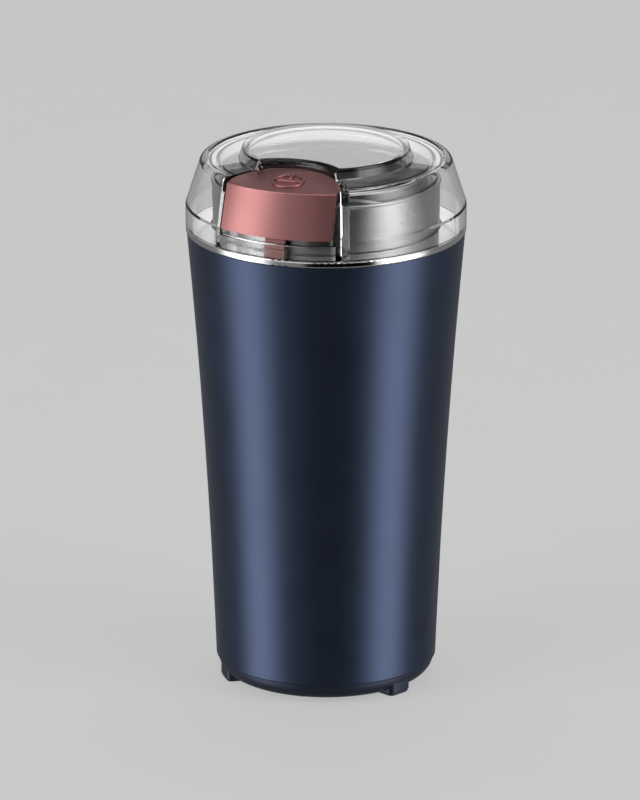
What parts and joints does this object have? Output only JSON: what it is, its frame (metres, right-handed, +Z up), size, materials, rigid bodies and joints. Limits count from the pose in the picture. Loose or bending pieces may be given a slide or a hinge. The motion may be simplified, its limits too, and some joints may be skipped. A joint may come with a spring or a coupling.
{
  "type": "electric spice grinder",
  "caption": "Upright electric spice grinder: tapered dark blue casing, clear lid with a rose-gold press button, bright ring, and a steel cup with crossed blades over a motor.",
  "frame": {"origin": "centre of the footprint, on the surface that the feet stand on", "axes": "+Z up along the axis of the casing and the motor, the press button faces -Y, the cord gland faces +Y"},
  "size_m": [0.096, 0.096, 0.1892],
  "materials": {
    "body_paint": "satin metallic paint over moulded plastic",
    "base_plastic": "fine moulded plastic",
    "pad_rubber": "matte",
    "zinc_steel": "zinc plated",
    "gland_rubber": "matte",
    "capacitor_film": "glossy box",
    "inner_plastic": "moulded",
    "cup_steel": "satin, spun",
    "silicone": "translucent",
    "ring_chrome": "bright plated",
    "seal_rubber": "matte",
    "lamination": "stacked sheet",
    "copper_wire": "enamelled winding",
    "copper_bar": "turned",
    "bracket_plastic": "glass-filled moulding",
    "bronze": "sintered",
    "brass_plate": "stamped",
    "carbon": "pressed carbon",
    "spring_steel": "drawn wire",
    "switch_plastic": "moulded",
    "shaft_steel": "ground",
    "blade_steel": "stainless, ground edges",
    "fan_plastic": "moulded",
    "clear_acrylic": "clear moulded acrylic",
    "rose_gold": "rose gold metallic plating",
    "plunger_plastic": "moulded"
  },
  "bodies": {
    "housing": {"outer_casing": "body_paint", "base_cover": "base_plastic", "foot_pads": "pad_rubber", "base_screws": "zinc_steel", "cord_gland": "gland_rubber", "suppressor_capacitor": "capacitor_film", "inner_frame": "inner_plastic", "frame_screws": "zinc_steel", "grinding_cup": "cup_steel", "cup_gasket": "silicone", "cup_pad": "silicone", "chrome_ring": "ring_chrome", "shaft_seal": "seal_rubber", "stator_core": "lamination", "field_coils": "copper_wire", "upper_bracket": "bracket_plastic", "lower_bracket": "bracket_plastic", "upper_bush": "bronze", "lower_bush": "bronze", "motor_bolts": "zinc_steel", "motor_mount_screws": "zinc_steel", "motor_grommets": "seal_rubber", "brush_holders": "brass_plate", "carbon_brushes": "carbon", "brush_springs": "spring_steel", "microswitch": "switch_plastic", "switch_terminals": "brass_plate", "switch_screws": "zinc_steel"},
    "rotor": {"motor_shaft": "shaft_steel", "armature_core": "lamination", "armature_winding": "copper_wire", "commutator": "copper_bar", "cooling_fan": "fan_plastic", "blade_hub": "shaft_steel", "lower_blade": "blade_steel", "upper_blade": "blade_steel", "blade_nut": "shaft_steel"},
    "lid": {"lid": "clear_acrylic", "button_springs": "spring_steel"},
    "button": {"press_button": "rose_gold"},
    "plunger": {"switch_plunger": "plunger_plastic"},
    "lever": {"switch_lever": "spring_steel"},
    "pin": {"switch_pin": "switch_plastic"}
  },
  "joints": [
    {"name": "blade_spin", "type": "hinge", "parent": "housing", "child": "rotor", "pos_m": [0, 0, 0.08], "axis": [0, 0, 1], "continuous": true},
    {"name": "lid_lift", "type": "slide", "parent": "housing", "child": "lid", "axis": [0, 0, 1], "range_m": [0, 0.08]},
    {"name": "button_press", "type": "slide", "parent": "lid", "child": "button", "axis": [0, 0, -1], "range_m": [0, 0.0018], "stiffness_N_per_m": 600, "springref_m": -0.002, "deforming": ["button_springs"]},
    {"name": "plunger_slide", "type": "slide", "parent": "housing", "child": "plunger", "axis": [0, 0, -1], "range_m": [0, 0.0018]},
    {"name": "lever_turn", "type": "hinge", "parent": "housing", "child": "lever", "pos_m": [-0.0054, -0.04056, 0.1485], "axis": [0, 1, 0], "range_deg": [0, 11.54]},
    {"name": "pin_slide", "type": "slide", "parent": "housing", "child": "pin", "axis": [0, 0, -1], "range_m": [0, 0.0006]}
  ],
  "couplings": [
    {"joint": "plunger_slide", "follows": "button_press", "ratio": 1},
    {"joint": "lever_turn", "follows": "button_press", "rad_per_m": 111.86},
    {"joint": "pin_slide", "follows": "button_press", "ratio": 0.3333}
  ]
}
